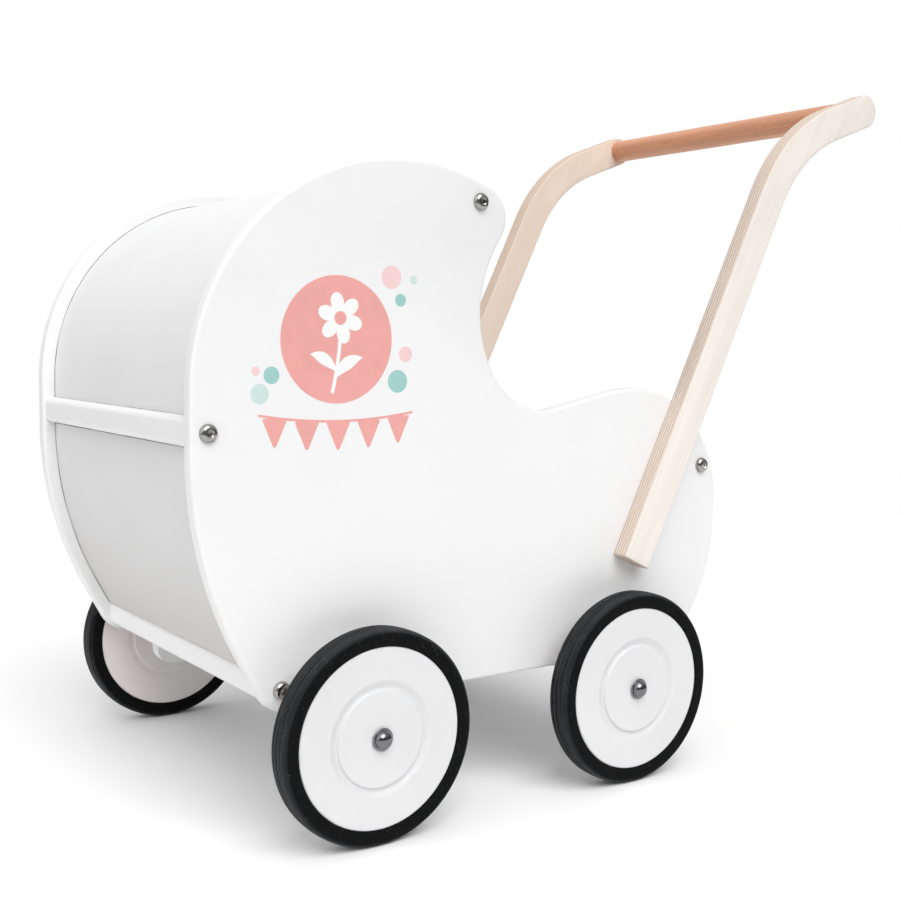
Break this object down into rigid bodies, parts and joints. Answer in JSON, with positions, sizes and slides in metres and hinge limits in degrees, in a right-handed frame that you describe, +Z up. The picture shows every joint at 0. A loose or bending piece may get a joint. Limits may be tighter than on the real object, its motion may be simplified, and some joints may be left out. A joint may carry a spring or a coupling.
{
  "type": "doll stroller",
  "caption": "Wooden toy doll pram: curved board sides, hooded cabin with curved skins, push handle with a round grip, free-turning rubber-tyred wheels.",
  "frame": {"origin": "on the ground, at the centre of the pram's overall length and width", "axes": "+X forward, from the handle towards the hood; +Y to the pram's left; +Z up"},
  "size_m": [0.6494, 0.3926, 0.5649],
  "materials": {
    "painted_board": "satin white paint",
    "painted_sheet": "satin white paint",
    "painted_batten": "satin white paint",
    "birch_plywood": "clear matt varnish",
    "beech": "clear matt varnish",
    "chromed_steel": "polished",
    "nickelled_steel": "bright",
    "zinc_steel": "bright",
    "painted_steel": "satin white paint",
    "hub_plastic": "matt",
    "tyre_rubber": "matt"
  },
  "bodies": {
    "chassis": {"side_panel_left": "painted_board", "side_panel_right": "painted_board", "hood_skin": "painted_sheet", "front_skin": "painted_sheet", "rear_skin": "painted_sheet", "hood_rail": "painted_batten", "front_rail": "painted_batten", "front_lower_rail": "painted_batten", "rear_rail": "painted_batten", "rear_lower_rail": "painted_batten", "floor_panel": "painted_sheet", "axle_bracket_front_left": "painted_board", "axle_bracket_front_right": "painted_board", "axle_bracket_rear_left": "painted_board", "axle_bracket_rear_right": "painted_board", "axle_front": "zinc_steel", "axle_rear": "zinc_steel", "axle_spacers": "zinc_steel", "axle_caps": "chromed_steel", "handle_arm_left": "birch_plywood", "handle_arm_right": "birch_plywood", "handle_dowel": "beech", "frame_bolts": "nickelled_steel", "barrel_nuts": "zinc_steel", "floor_screws": "zinc_steel", "bracket_screws": "zinc_steel", "arm_screws": "zinc_steel"},
    "wheel_front_left": {"wheel_front_left_outer_disc": "painted_steel", "wheel_front_left_inner_disc": "painted_steel", "wheel_front_left_hub": "hub_plastic", "wheel_front_left_tyre": "tyre_rubber"},
    "wheel_front_right": {"wheel_front_right_outer_disc": "painted_steel", "wheel_front_right_inner_disc": "painted_steel", "wheel_front_right_hub": "hub_plastic", "wheel_front_right_tyre": "tyre_rubber"},
    "wheel_rear_left": {"wheel_rear_left_outer_disc": "painted_steel", "wheel_rear_left_inner_disc": "painted_steel", "wheel_rear_left_hub": "hub_plastic", "wheel_rear_left_tyre": "tyre_rubber"},
    "wheel_rear_right": {"wheel_rear_right_outer_disc": "painted_steel", "wheel_rear_right_inner_disc": "painted_steel", "wheel_rear_right_hub": "hub_plastic", "wheel_rear_right_tyre": "tyre_rubber"}
  },
  "joints": [
    {"name": "wheel_front_left_spin", "type": "hinge", "parent": "chassis", "child": "wheel_front_left", "pos_m": [0.20319, 0.18, 0.075], "axis": [0, 1, 0], "continuous": true},
    {"name": "wheel_front_right_spin", "type": "hinge", "parent": "chassis", "child": "wheel_front_right", "pos_m": [0.20319, -0.18, 0.075], "axis": [0, 1, 0], "continuous": true},
    {"name": "wheel_rear_left_spin", "type": "hinge", "parent": "chassis", "child": "wheel_rear_left", "pos_m": [-0.03181, 0.18, 0.075], "axis": [0, 1, 0], "continuous": true},
    {"name": "wheel_rear_right_spin", "type": "hinge", "parent": "chassis", "child": "wheel_rear_right", "pos_m": [-0.03181, -0.18, 0.075], "axis": [0, 1, 0], "continuous": true}
  ]
}
